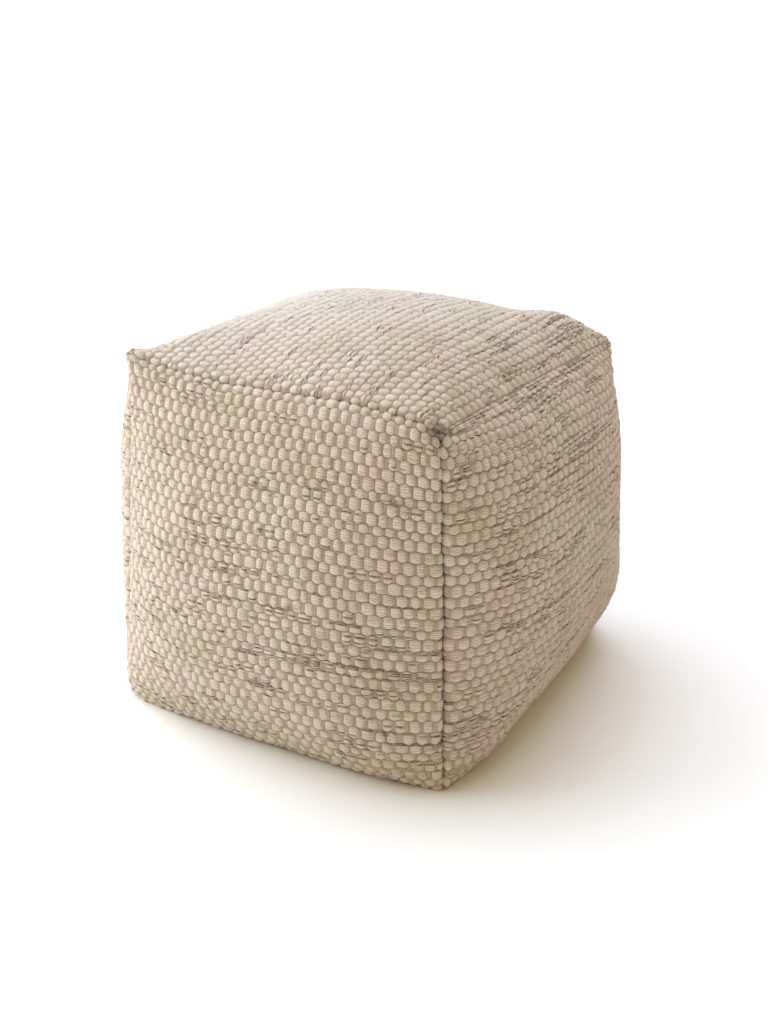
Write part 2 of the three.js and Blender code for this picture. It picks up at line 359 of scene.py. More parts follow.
# %% Smooth places on the cloth
def cubic_weights(f):
    """Catmull-Rom weights of four neighbours for a place f, 0 to 1, between the middle two."""
    return (
        0.5 * (-f + 2 * f**2 - f**3),
        0.5 * (2 - 5 * f**2 + 3 * f**3),
        0.5 * (f + 4 * f**2 - 3 * f**3),
        0.5 * (-(f**2) + f**3),
    )


def on_cloth(face, s, t):
    """The settled cloth at s, t: a cubic blend of sixteen grid points, and past the grid's
    edge, of points that carry on in a straight line."""
    grid = np.pad(CLOTH[face], ((1, 1), (1, 1), (0, 0)), mode="edge")
    grid[0], grid[-1] = 2 * grid[1] - grid[2], 2 * grid[-2] - grid[-3]
    grid[:, 0], grid[:, -1] = 2 * grid[:, 1] - grid[:, 2], 2 * grid[:, -2] - grid[:, -3]
    x, y = np.clip(s, 0, 1) * CELLS, np.clip(t, 0, 1) * CELLS
    i, j = np.minimum(x.astype(int), CELLS - 1), np.minimum(y.astype(int), CELLS - 1)
    place = np.zeros(np.shape(x) + (3,))
    for a, weight_a in enumerate(cubic_weights(x - i)):
        for b, weight_b in enumerate(cubic_weights(y - j)):
            place += (weight_a * weight_b)[..., None] * grid[i + a, j + b]
    return place


# %% [markdown]
# ## Seams, folds and corners
# At a seam both cloths turn inwards round a tight curve and leave a dark groove. At a fold
# the strip simply bends, in a wide soft curve. Both are the same thing in numbers: the
# cloth drops back along the diagonal between the two faces, more and more as it nears the
# edge. The top corners stick out as little ears, except the near one, which is tucked in.

# %% How every edge is turned
TURNS = {  # how far the turn reaches, how far it drops, and how deep its groove is, in mm
    "seam": {"reach": 9.0, "drop": 2.6, "groove": 7.0},
    "soft seam": {"reach": 15.0, "drop": 3.6, "groove": 2.6},
    "fold": {"reach": 48.0, "drop": 5.5, "groove": 0.0},
    "foot fold": {"reach": 12.0, "drop": 3.0, "groove": 0.0},
}
EDGE_TURNS = {name: "seam" for name in EDGES} | {
    "front_top": "soft seam",
    "back_top": "soft seam",
    "right_top": "fold",
    "left_top": "fold",
    "right_foot": "foot fold",
    "left_foot": "foot fold",
}
CORNER_TURN = {"drop": 5.0, "groove": 2.5}  # at the ends of every edge
CORNER_BLEND = 24  # how soon, leaving a corner, an edge gets its own turn
GROOVE_WIDTH = 2.3  # mm from the edge over which a groove fades
SQUARENESS = 5  # how soon, nearing an edge, the way out turns to its diagonal
EAR_REACH = 18.0  # mm along the cloth that an ear or a tucked corner reaches


def way_out(p):
    """The way out of the bag at a place on its patch: the same for faces that meet there."""
    share = p / (WIDTH / 2, DEPTH / 2, HEIGHT / 2) - (0, 0, 1)
    return unit(np.sign(share) * np.abs(share) ** SQUARENESS)


def near_edges(face, s, t):
    """A face's edges: the name of each, how many mm of cloth lie between it and s, t, and
    where along it that is, from 0 to 1."""
    long_s, long_t = (station[2] for station in STATIONS[face])
    distances = (s * long_s, (1 - s) * long_s, t * long_t, (1 - t) * long_t)
    return zip(FACES[face][0], distances, (t, t, s, s))


def off_corner(place, soon):
    """0 at the ends of an edge and 1 a little way in: soon * place * (1 - place), capped."""
    return np.clip(soon * place * (1 - place), 0, 1)


def turned_in(face, s, t):
    """How far, in mm, the cloth drops back at s, t because of the edges near it: their
    drops, averaged by how near each edge is, for the wide turn and again for the groove."""
    total = np.zeros(np.shape(s))
    for part in ("drop", "groove"):
        clear, nearness, drop = 1.0, 1e-9, 0.0
        for name, distance, place in near_edges(face, s, t):
            turn, end = TURNS[EDGE_TURNS[name]], CORNER_TURN[part]
            roll = np.maximum(0, 1 - distance / turn["reach"]) ** 2
            near = roll if part == "drop" else np.exp(-distance / GROOVE_WIDTH)
            clear = clear * (1 - near)
            nearness = nearness + near
            drop = drop + near * (end + off_corner(place, CORNER_BLEND) * (turn[part] - end))
        total += (1 - clear) * drop / nearness
    return total


def standing_out(p):
    """How far the corners' ears stand out at a place on the patch, or are tucked in."""
    out = np.zeros(p.shape[:-1])
    for name, (_, ear) in CORNERS.items():
        out += ear * np.exp(-((np.linalg.norm(p - corner(name), axis=-1) / EAR_REACH) ** 2))
    return out


# %% Pleats at the corners and seams that waver
PLEATS = {"reach": 17.0, "height": 1.5, "count": 6.5, "turn": 1.2}  # mm, mm, waves and radians
NEAR_PLEATS = 2.2  # how much deeper they are at the near corner, where the cloth is tucked
WAVER = {"height": 0.65, "reach": 8.0, "waves": (11.0, 23.0, 47.0), "soon": 12}  # mm and radians


def pleated(face, s, t):
    """Little pleats in the strip that fan out from a top corner, where it is eased round:
    height * cos(count * angle + turn) * x exp(1 - x), where x = distance / reach."""
    rise = np.zeros(np.shape(s))
    if face not in ("right", "left", "top"):
        return rise
    long_s, long_t = (station[2] for station in STATIONS[face])
    ends = ((t * long_t, -1), ((1 - t) * long_t, -1)) if face == "top" else (((1 - t) * long_t, 1),)
    for from_seam, front in ((s * long_s, True), ((1 - s) * long_s, False)):
        for number, (from_fold, side) in enumerate(ends):
            near = front and (face == "right" or (face == "top" and number == 1))
            x = np.hypot(from_seam, from_fold) / PLEATS["reach"]
            angle = np.arctan2(side * from_fold, from_seam)
            wave = np.cos(PLEATS["count"] * angle + PLEATS["turn"])
            rise += PLEATS["height"] * (NEAR_PLEATS if near else 1) * wave * x * np.exp(1 - x)
    return rise


def wavered(face, s, t):
    """How far the cloth near a seam is carried to the seam's side, as a vector: height times
    a sum of waves along the seam, faded by exp(-distance / reach) and at the seam's ends."""
    shift = np.zeros(np.shape(s) + (3,))
    for name, distance, place in near_edges(face, s, t):
        if "seam" in EDGE_TURNS[name] and "foot" not in name:
            start, end, _ = EDGES[name]
            side = unit(np.cross(unit(corner(end) - corner(start)), unit(way(name))))
            waves = sum(np.sin(k * place + k * k) for k in WAVER["waves"])
            fade = off_corner(place, WAVER["soon"]) * np.exp(-distance / WAVER["reach"])
            shift += side * (WAVER["height"] * waves * fade)[..., None]
    return shift


def sewn(face, s, t):
    """The sewn bag at s, t: the settled cloth, turned in at its edges, with its ears, its
    pleats and its wavering seams."""
    flat = patch(face, *stand(face, s, t))
    shift = standing_out(flat) - turned_in(face, s, t) + pleated(face, s, t)
    return on_cloth(face, s, t) + way_out(flat) * shift[..., None] + wavered(face, s, t)


def sewn_normals(face, s, t):
    """Outward normals of the sewn bag, from two small steps along the cloth."""
    step = 0.004  # of the face's length
    along = sewn(face, np.minimum(s + step, 1), t) - sewn(face, np.maximum(s - step, 0), t)
    upward = sewn(face, s, np.minimum(t + step, 1)) - sewn(face, s, np.maximum(t - step, 0))
    normals = unit(np.cross(along, upward))
    middle = normals[normals.shape[0] // 2, normals.shape[1] // 2]
    return normals if middle @ way(face) > 0 else -normals


# %% [markdown]
# ## The weave
# The cloth is a plain weave. Each weft is a soft bundle of about seven woollen strands, as
# thick as a pencil, and it rides over one pair of warps and under the next. Where it rides
# over, it shows as a pebble. Where it dives under, the warp shows in a small hollow. The
# next row does the same half a step along.
#
# Every face gets one grid of points that follows this: the lines of the grid run exactly
# along the gaps between the rows and along the ends of the pebbles, so each pebble keeps
# crisp edges with few points. The warp hollow has points of its own.

# %% The weave's own sizes
FINE = (7, 3, 7)  # cells along a pebble, along the hollow after it, and across a row
COARSE = (3, 1, 3)  # the same on the base, which nobody sees
PEBBLE_SHARE = 0.77  # a pebble's share of the repeat
PEBBLE_HEIGHT = 2.9  # mm above the gap between rows
HOLLOW_HEIGHT = 1.75
DIVE_HEIGHT = 0.7  # what is left of the weft where it dives under
COUNTS = {"front": (31, 36), "right": (33, 36), "top": (33, 35)}  # repeats in a row, and rows
COUNTS |= {face: COUNTS[other] for face, other in LIKE.items()}

# %% How uneven the weave is
SHARE_SPREAD, SHARE_LIMITS = 0.06, (0.6, 0.88)  # of a pebble's share of the repeat
HEIGHT_SPREAD = 0.13  # as a share of a pebble's height
SHIFT_SPREAD = 0.05  # repeats by which a pebble's start and end are shifted
BLUNTNESS = (2.0, 3.8)  # the power in a pebble's length: low is pointed, high is blunt
SWELL, SWELL_SPREAD, SWELL_WAVES = 0.07, 0.45, 14  # rows by which a pebble crowds its neighbours
WANDER, WANDER_WAVES = 0.12, 3  # rows by which a whole row wanders up and down
ROW_SPREAD = 0.07  # rows by which it lies higher or lower than even
WAVES_SUMMED = 6


def smooth_noise(rng, s, t, waves):
    """Gentle unevenness between about -1 and 1: the sum of a few waves across the face."""
    total = np.zeros(np.broadcast(s, t).shape)
    for _ in range(WAVES_SUMMED):
        across, upward = rng.uniform(-waves, waves, 2)
        total += np.sin(2 * np.pi * (across * s + upward * t + rng.uniform()))
    return total / np.sqrt(WAVES_SUMMED)


# %% The grid that follows the weave
PEBBLE_EASE = 0.45  # how much closer a pebble's points lie at its ends
ROW_ROUND, ROW_POWER = 0.65, 3  # how round a weft is across the row, in a hollow and on a pebble
HOLLOW_BEND, HOLLOW_ROUND = 2.2, 0.7  # how round the warp is in its hollow


def weave_grid(face, shift, steps, rng):
    """Cloth places s, t and height h of every grid point of one woven face.

    The point numbers k and m say where it is in the repeat. kind is k, moved by half a
    repeat in every other row, and counted from the start of its repeat: low numbers are
    on a pebble and the last few in the hollow after it. Across a row the points go round
    the yarn by even angles, t = middle + half * sin(angle). A pebble is a dome: its height
    is the root of 1 - (distance along)^blunt - (distance across)^3."""
    (repeats, rows), (pebble_steps, hollow_steps, row_steps) = COUNTS[face], steps
    repeat = pebble_steps + hollow_steps
    k = np.arange(repeats * repeat + 1)[None, :]
    m = np.arange(rows * row_steps + 1)[:, None]
    row = np.minimum(m // row_steps, rows - 1)
    angle = np.pi * ((m - row * row_steps) / row_steps - 0.5)
    moved = k + repeat // 2 * ((row + shift) % 2)
    kind, pebble = moved % repeat, moved // repeat

    per_pebble = (rows, repeats + 2)
    share = PEBBLE_SHARE + SHARE_SPREAD * rng.standard_normal(per_pebble)
    share = np.clip(share, *SHARE_LIMITS)[row, pebble]
    taller = (1 + HEIGHT_SPREAD * rng.standard_normal(per_pebble))[row, pebble]
    blunt = rng.uniform(*BLUNTNESS, per_pebble)[row, pebble]
    jitter = SHIFT_SPREAD * rng.standard_normal((rows, repeats + 3))

    on_pebble = kind < pebble_steps
    part = np.where(on_pebble, kind / pebble_steps, (kind - pebble_steps) / hollow_steps)
    eased = 0.5 + 0.5 * np.sin(np.pi * (part - 0.5))
    eased = PEBBLE_EASE * eased + (1 - PEBBLE_EASE) * part
    x = np.where(on_pebble, share * eased, share + (1 - share) * part)
    x = x + (1 - x) * jitter[row, pebble] + x * jitter[row, pebble + 1]
    s = (pebble + x - 0.5 * ((row + shift) % 2)) / repeats
    half = repeat // 2
    s = s - s[:, :1] * np.maximum(0, 1 - k / half)
    s = s + (1 - s[:, -1:]) * np.maximum(0, 1 - (k[:, -1:] - k) / half)

    bent = np.abs(2 * part - 1)
    round_row = np.cos(angle) ** ROW_ROUND
    pebble_rise = np.maximum(0, 1 - bent**blunt - np.abs(np.sin(angle)) ** ROW_POWER) ** 0.5
    hollow_rise = (1 - bent**HOLLOW_BEND) ** HOLLOW_ROUND * round_row
    high = np.where(on_pebble, PEBBLE_HEIGHT * taller, HOLLOW_HEIGHT)
    h = DIVE_HEIGHT * round_row + (high - DIVE_HEIGHT) * np.where(on_pebble, pebble_rise, hollow_rise)

    line = np.arange(rows + 1)[:, None]
    phase = (k + half * ((line + shift) % 2) - pebble_steps / 2) / repeat
    inner = (line > 0) & (line < rows)
    uneven = 1 + SWELL_SPREAD * smooth_noise(rng, k / k.max(), line / rows, SWELL_WAVES)
    swell = SWELL * np.cos(2 * np.pi * phase) * uneven
    wander = WANDER * smooth_noise(rng, k / k.max(), line / rows, WANDER_WAVES)
    wander = wander + ROW_SPREAD * rng.standard_normal((rows + 1, 1))
    gap = (line + inner * (wander - swell)) / rows
    lower, upper = gap[row[:, 0]], gap[row[:, 0] + 1]
    t = 0.5 * (lower + upper) + 0.5 * (upper - lower) * np.sin(angle)
    return np.clip(s, 0, 1), np.clip(t, 0, 1), h


# %% One woven face
EDGE_FADE, EDGE_ROUND = 2.5, 0.6  # mm from a seam within which pebbles sink, and how roundly
FOLD_LIFT, FOLD_LIFT_REACH = 1.3, 2.5  # mm that the gap at a fold is lifted, and how near to it
PRESSED = 1.4  # mm that the base's cloth lies above the floor, which flattens its pebbles
CLOTH_THICK = 6.0  # mm from the outside to the inside of the cloth
RING_SHARES = (1.0, 0.9, 0.7, 0.45, 0.2, 0.0)  # how wide the rings of its inside are


def woven_points(face, shift, steps, seed):
    """The outside of one face: the sewn bag plus the weave's height along its normal."""
    s, t, h = weave_grid(face, shift, steps, np.random.default_rng(seed))
    long_s, long_t = (station[2] for station in STATIONS[face])
    h = h * np.minimum(1, np.minimum(s, 1 - s) * long_s / EDGE_FADE) ** EDGE_ROUND
    points = sewn(face, s, t)
    if face == "base":
        points[..., 2] += PRESSED * np.minimum(1, np.minimum(t, 1 - t) * long_t / EDGE_FADE)
    points += sewn_normals(face, s, t) * h[..., None]
    for name, distance, _ in near_edges(face, s, t):
        if EDGE_TURNS[name] == "fold":
            bell = FOLD_LIFT * np.exp(-((distance / FOLD_LIFT_REACH) ** 2))
            points += way_out(patch(face, *stand(face, s, t))) * bell[..., None]
    points[..., 2] = np.maximum(points[..., 2], 0)
    return points, s, t, h


def rim_of(grid):
    """The values round a grid's rim, in one turn that starts at its first corner."""
    return np.concatenate([grid[0, :-1], grid[:-1, -1], grid[-1, :0:-1], grid[:0:-1, 0]])


def inner_rings(face, s, t):
    """The inside of a face, as rings that shrink from its rim to its middle, each ring one
    cloth's thickness in: it closes the woven face into a solid piece of cloth."""
    ring_s, ring_t, rings = rim_of(s), rim_of(t), []
    for share in RING_SHARES:
        rs, rt = 0.5 + (ring_s - 0.5) * share, 0.5 + (ring_t - 0.5) * share
        flat = patch(face, *stand(face, rs, rt))
        out = way_out(flat) if share == 1 else way(face)
        rings.append(sewn(face, rs, rt) - out * CLOTH_THICK)
    return rings


def woven_face(face, shift, steps, seed):
    """A closed mesh: the woven outside, its rim, and the rings of its inside."""
    points, s, t, h = woven_points(face, shift, steps, seed)
    height, width = s.shape
    outer = points.reshape(-1, 3)
    rings = inner_rings(face, s, t)
    quads = [grid_quads(height, width)]
    around, start = rim_of(np.arange(s.size).reshape(s.shape)), s.size
    for ring in rings[:-1]:
        here = start + np.arange(len(ring))
        quads.append(np.stack([np.roll(around, -1), around, here, np.roll(here, -1)], axis=1))
        around, start = here, start + len(ring)
    fan = np.stack([np.roll(around, -1), around, np.full(len(around), start)], axis=1)
    vertices = np.concatenate([outer] + rings[:-1] + [rings[-1][:1]])
    quads = np.concatenate(quads)
    if not faces_outwards(face, outer, quads[: (height - 1) * (width - 1)]):
        quads, fan = quads[:, ::-1], fan[:, ::-1]
    return vertices, quads, fan, s, t, h


# %% Put a face into Blender
def smooth_mesh(name, vertices, quads, triangles):
    """A mesh object from arrays of corners and of faces, all shaded smooth."""
    mesh = bpy.data.meshes.new(name)
    mesh.from_pydata((vertices * MM).tolist(), [], quads.tolist() + triangles.tolist())
    mesh.shade_smooth()
    piece = bpy.data.objects.new(name, mesh)
    bpy.context.scene.collection.objects.link(piece)
    return piece


# %% Where dark strands gather
DARK_SHARES = {  # how crowded they are on a face, and how much more at its foot than its head
    "front": (0.42, 0.16),
    "back": (0.44, 0.1),
    "right": (0.46, 0.0),
    "left": (0.46, 0.1),
    "top": (0.38, -0.12),
    "base": (0.45, 0.0),
}
STREAKS = {  # from and to along the rows, place up the face, rows wide, and strength
    "front": [
        (0.45, 0.76, 0.77, 1, 0.5), (0.8, 0.92, 0.785, 0.5, 0.8), (0.28, 0.64, 0.635, 1.2, 0.5),
        (0.78, 0.87, 0.59, 0.8, 0.8), (0.42, 0.5, 0.535, 0.6, 0.7), (0.36, 0.77, 0.47, 1.2, 0.8),
        (0.42, 0.65, 0.39, 1.2, 0.5), (0.28, 0.35, 0.375, 0.6, 0.6), (0.82, 1, 0.42, 1, 1),
        (0.48, 1, 0.345, 1.2, 1), (0.85, 1, 0.29, 0.5, 0.8), (0.78, 1, 0.16, 0.7, 0.7),
        (0.36, 0.58, 0.26, 1.2, 0.5), (0.77, 1, 0.945, 1, 0.5),
    ],
    "right": [
        (0.05, 0.85, 0.975, 1.2, 1), (0.4, 1, 0.84, 1.2, 0.7), (0.15, 0.6, 0.79, 1, 0.6),
        (0.14, 0.5, 0.7, 1.2, 1), (0.6, 1, 0.64, 1.5, 0.6), (0, 0.12, 0.66, 0.6, 0.6),
        (0.14, 0.46, 0.555, 1, 0.9), (0, 0.1, 0.57, 0.6, 0.6), (0.1, 0.4, 0.44, 1, 0.7),
        (0.45, 0.7, 0.41, 0.8, 0.7), (0.12, 0.5, 0.25, 1, 0.7), (0, 0.2, 0.17, 1.5, 1),
    ],
    "top": [
        (0.3, 0.6, 0.6, 1.5, 0.4), (0.3, 0.6, 0.76, 1, 0.4), (0.5, 0.95, 0.87, 1.2, 0.6),
        (0.4, 1, 0.95, 1.2, 0.8), (0, 0.1, 0.5, 2, 0.4),
    ],
}
STREAK_SHARE = 0.3  # what a streak of strength 1 adds to how crowded they are
STREAK_END = 0.02  # share of the face over which a streak's end fades


def streaked(face, s, t, rows):
    """The strength of the streaks at s, t: 1 between a streak's ends, eased out beyond
    them, times a bell curve over its rows. The back and the left side have those of the
    opposite face, turned upside down."""
    if face in ("back", "left"):
        face, t = LIKE[face], 1 - t
    strength = np.zeros(np.shape(s))
    for start, end, high, wide, much in STREAKS.get(face, ()):
        past = np.maximum(0, np.maximum(start - s, s - end)) / STREAK_END
        off = (t - high) * rows / wide
        strength = np.maximum(strength, much * np.exp(-(past**2) - off**2))
    return strength


# %% Where shade is painted in the seams
SEAM_SHADES = {"seam": 1.0, "soft seam": 0.6}  # how dark the painted shade line in each kind of seam is
SHADE_REACH = 2.0  # mm from a seam over which its painted shade fades
# painted shade in the tucked corner: its strength, what is taken off it, and the most it gets
TUCK_SHADE, TUCK_LEAST, TUCK_MOST = 1.5, 0.5, 0.8


def groove_shade(face, s, t):
    """Painted shade: 1 in a seam's groove, fading like a bell curve over SHADE_REACH, and 0 where the
    cloth folds. Where a corner is tucked in, shade is painted too: TUCK_SHADE * tuck - TUCK_LEAST."""
    shade = np.zeros(np.shape(s))
    for name, distance, _ in near_edges(face, s, t):
        strong = SEAM_SHADES.get(EDGE_TURNS[name], 0)
        shade = np.maximum(shade, strong * np.exp(-((distance / SHADE_REACH) ** 2)))
    tuck = standing_out(patch(face, *stand(face, s, t))) / CORNERS["right_front_top"][1]
    return np.maximum(shade, np.clip(TUCK_SHADE * tuck - TUCK_LEAST, 0, TUCK_MOST))


# %% Notes on every point, for the material to read
def note(piece, name, values, inside):
    """Stores a number on every point: values on the woven outside, then one for the inside."""
    numbers = np.full(len(piece.data.vertices), inside, np.float32)
    numbers[: values.size] = values.ravel()
    piece.data.attributes.new(name, "FLOAT", "POINT").data.foreach_set("value", numbers)


def note_weave(piece, s, t, heights, steps, shift, face_number, face):
    """Stores where every point is in the weave, in repeats and in rows, how high it stands, how
    crowded the dark strands are there, and how much shade is painted there in the seams."""
    height, width = s.shape
    k, m = np.meshgrid(np.arange(width) / sum(steps[:2]), np.arange(height) / steps[2])
    rows = COUNTS[face][1]
    place = np.zeros((len(piece.data.vertices), 3), np.float32)
    place[: s.size, 0] = k.ravel()
    place[: s.size, 1] = m.ravel() + shift
    place[:, 2] = face_number
    attribute = piece.data.attributes.new("weave", "FLOAT_VECTOR", "POINT")
    attribute.data.foreach_set("vector", place.ravel())
    share, more = DARK_SHARES[face]
    crowded = share + more * (0.5 - m / rows) + STREAK_SHARE * streaked(face, s, t, rows)
    note(piece, "standing", heights / PEBBLE_HEIGHT, 0)
    note(piece, "crowded", crowded, share)
    # the shade painted in the seams and in the tucked corner
    note(piece, "rim", groove_shade(face, s, t), 1)


# %% Weave the six faces
PIECES = {  # the face, which row starts shifted, the node it stands for, and its slot
    "front_cloth": ("front", 0, "front_panel", "panel_cloth"),
    "back_cloth": ("back", 1, "back_panel", "panel_cloth"),
    "right_cloth": ("right", 1, "boxing_strip", "strip_cloth"),
    "left_cloth": ("left", 1, "boxing_strip", "strip_cloth"),
    "top_cloth": ("top", 1, "boxing_strip", "strip_cloth"),
    "base_cloth": ("base", 0, "boxing_strip", "strip_cloth"),
}
FIRST_SEED = 40  # of the random numbers, one seed for each face
woven = {}
for number, (name, (face, shift, _, _)) in enumerate(PIECES.items()):
    steps, seed = COARSE if face == "base" else FINE, FIRST_SEED + number
    vertices, quads, fan, s, t, heights = woven_face(face, shift, steps, seed)
    piece = smooth_mesh(name, vertices, quads, fan)
    note_weave(piece, s, t, heights, steps, shift, number, face)
    woven[name] = piece
    print(name, 2 * len(quads) + len(fan), "triangles")

# %% Set the middle of the bag on the origin
everything = np.concatenate([np.array([v.co for v in p.data.vertices]) for p in woven.values()])
low, high = everything.min(axis=0), everything.max(axis=0)
MIDDLE = np.array([*(low + high)[:2] / 2, 0])
for piece in woven.values():
    piece.data.transform(Matrix.Translation(-MIDDLE))
print("middle in mm:", np.round(MIDDLE / MM, 1), "size in mm:", np.round((high - low) / MM, 1))

# %% [markdown]
# ## The wool
# A small class lets shader maths be written as Python: it wraps one socket, and every
# operator on it adds the Math node that does the work.

# %% Shader maths in Python
class Value:
    """A socket of a shader tree. Numbers and other Values may be mixed in one formula."""

    def __init__(self, tree, socket):
        self.tree, self.socket = tree, socket

    def math(self, operation, *others):
        return self.tree.add("ShaderNodeMath", {"operation": operation}, [self, *others])

    def __add__(self, other):
        return self.math("ADD", other)

    def __sub__(self, other):
        return self.math("SUBTRACT", other)

    def __rsub__(self, other):
        return self.tree.add("ShaderNodeMath", {"operation": "SUBTRACT"}, [other, self])

    def __mul__(self, other):
        return self.math("MULTIPLY", other)

    __radd__, __rmul__ = __add__, __mul__

    def ramp(self, low, high):
        """0 below low, 1 above high, and a smooth step between."""
        settings = {"interpolation_type": "SMOOTHSTEP"}
        return self.tree.add("ShaderNodeMapRange", settings, [self, low, high])


class Tree:
    """The node tree of a material or a world, with one method that adds any node."""

    def __init__(self, material):
        self.nodes, self.links = material.node_tree.nodes, material.node_tree.links

    def add(self, kind, settings=None, values=(), output=0):
        """Adds a node: its settings first, then the numbers or links of its sockets, given
        as a list from the first socket on or as a dictionary by name or number. Gives one of
        its outputs back as a Value."""
        node = self.nodes.new(kind)
        for name, setting in (settings or {}).items():
            setattr(node, name, setting)
        pairs = values.items() if isinstance(values, dict) else enumerate(values)
        for key, given in pairs:
            if isinstance(given, Value):
                self.links.new(given.socket, node.inputs[key])
            else:
                node.inputs[key].default_value = given
        return Value(self, node.outputs[output])

    def vector(self, x, y, z=0.0):
        return self.add("ShaderNodeCombineXYZ", None, [x, y, z])

    def blend(self, amount, first, second):
        """A colour between two colours."""
        values = {0: amount, 6: first, 7: second}
        return self.add("ShaderNodeMix", {"data_type": "RGBA"}, values, 2)

    def noise(self, place, scale, detail):
        values = {"Vector": place, "Scale": scale, "Detail": detail}
        return self.add("ShaderNodeTexNoise", None, values, "Fac")

    def attribute(self, name, output="Fac"):
        return self.add("ShaderNodeAttribute", {"attribute_name": name}, (), output)

    def apart(self, vector):
        """The three numbers of a vector."""
        first = self.add("ShaderNodeSeparateXYZ", None, [vector])
        return [Value(self, part) for part in first.socket.node.outputs]


# %% [markdown]
# ## What the eye sees in the yarn
# Each weft is about seven strands side by side, so every pebble carries fine lines along the
# row. In the hollows the threads run the other way. The wool is undyed: cream strands, some
# rosier or yellower than others, and now and then one dark grey-brown strand, which shows
# as a row of thin dashes, pebble after pebble, until it ends. Dark strands come in crowds.

# %% The wool's colours and threads
CREAM, WARM, ROSY = (0.78, 0.665, 0.54, 1), (0.715, 0.59, 0.43, 1), (0.77, 0.587, 0.495, 1)
PALE, OLIVE = (0.84, 0.74, 0.615, 1), (0.62, 0.53, 0.355, 1)
# the dark grey-brown strands, and also the painted shade in the seams and the tucked corner
DARK_WOOL_AND_SEAM_SHADE = (0.15, 0.085, 0.042, 1)
WARP = (0.63, 0.505, 0.39, 1)
PAINTED_TOP_LIGHT = (0.90, 0.885, 0.87, 1)  # painted light: near-white laid on the top, most at the back on the left, where the light falls strongest
DARK_TONE_AND_SHADE = (0.24, 0.165, 0.11, 1)  # a random darker tone of some strands and fibres, and painted shade between strands, threads and rows and deep in the weave, where no light gets in
STRANDS = 7.0  # strands in one weft
WARP_THREADS = 4.0  # threads of warp in one hollow
HOLLOW_EDGE = 0.01  # repeats over which a pebble's wool gives way to the warp

# %% [markdown]
# Uneven wool is noise that is read along the rows. Read by strands, it changes from strand
# to strand, and read by rows, only from row to row. Each noise then brings in one colour.

# %% The noises, and what each of them tints
NOISES = {  # its steps for a repeat, for the next strand or row and for a face, and its detail
    "run": (0.27, 5.31, 37.7, 1.0),  # a strand is dark where this is high,
    "crowd": (0.05, 0.73, 11.3, 1.0),  # and dark strands gather in rows where this is high
    "dash": (3.1, 2.7, 0.0, 0.0),  # how dark each dash is
    "tone": (0.9, 3.71, 3.3, 1.0),  # each strand's own tone,
    "yarn": (0.2, 3.3, 5.1, 2.0),  # and each row's
}
PATCHES = {"rosy": (0.14, 0.15, 7.7, 0.0), "olive": (0.18, 0.23, 3.1, 40.0)}  # steps and start
CROWDING, STREAKING = 0.3, 0.4  # how far rows and streaks move a strand's level
DARK_LEVEL = (0.595, 0.655)  # the level from which, and up to which, a strand turns dark
DARK_WIDTH = (0.45, 0.9)  # where, from a strand's middle to its side, the dark fades
DASH_LEAST, DASH_SPREAD = 0.3, 1.0
STRAND_TINTS = [  # the noise, where it starts and ends, how much colour it brings, and which
    ("yarn", 0.42, 0.72, 0.6, WARM),
    ("rosy", 0.42, 0.56, 1.0, ROSY),
    ("olive", 0.52, 0.64, 0.6, OLIVE),
    ("tone", 0.4, 0.8, 0.8, PALE),
    ("tone", 0.5, 0.2, 0.3, DARK_TONE_AND_SHADE),
]
FIBRE_TINTS = [("fibre", 0.45, 0.75, 0.32, DARK_TONE_AND_SHADE), ("fibre", 0.55, 0.25, 0.45, PALE)]
FIBRE_SCALE, FUZZ_SCALE, FINE_DETAIL = 650.0, 1500.0, 3.0  # waves in a metre, and their detail
TOP_LIGHT_HEIGHT = (0.385, 0.43)  # metres above the floor over which the painted light on the top comes in
TOP_LIGHT_SIDE = (-0.35, 0.4)  # metres from the near right to the far left over which the painted light on the top grows
# the most that the painted light whitens the top
MOST_TOP_LIGHT = 0.65
LINE_WIDTH, THREAD_WIDTH = (0.6, 1.0), (0.4, 1.0)  # from the middle to the side, as above
LINE_SHADE, THREAD_SHADE = 0.24, 0.48  # how much shade is painted in the lines between strands and between threads
DEPTH_SHADE, DEPTH_HEIGHT = 0.16, 0.4  # how much shade is painted deep in, below this share of a pebble
# how strongly the painted shade of the seams and the tucked corner darkens the wool
SEAM_SHADE = 0.85
STRAND_BUMP, FUZZ_BUMP, BUMP_STRENGTH = 0.9, 0.8, 0.8  # mm, mm, and a share
MATT = {"Roughness": 0.95, "Specular IOR Level": 0.2, "Sheen Weight": 0.45, "Sheen Roughness": 0.45}


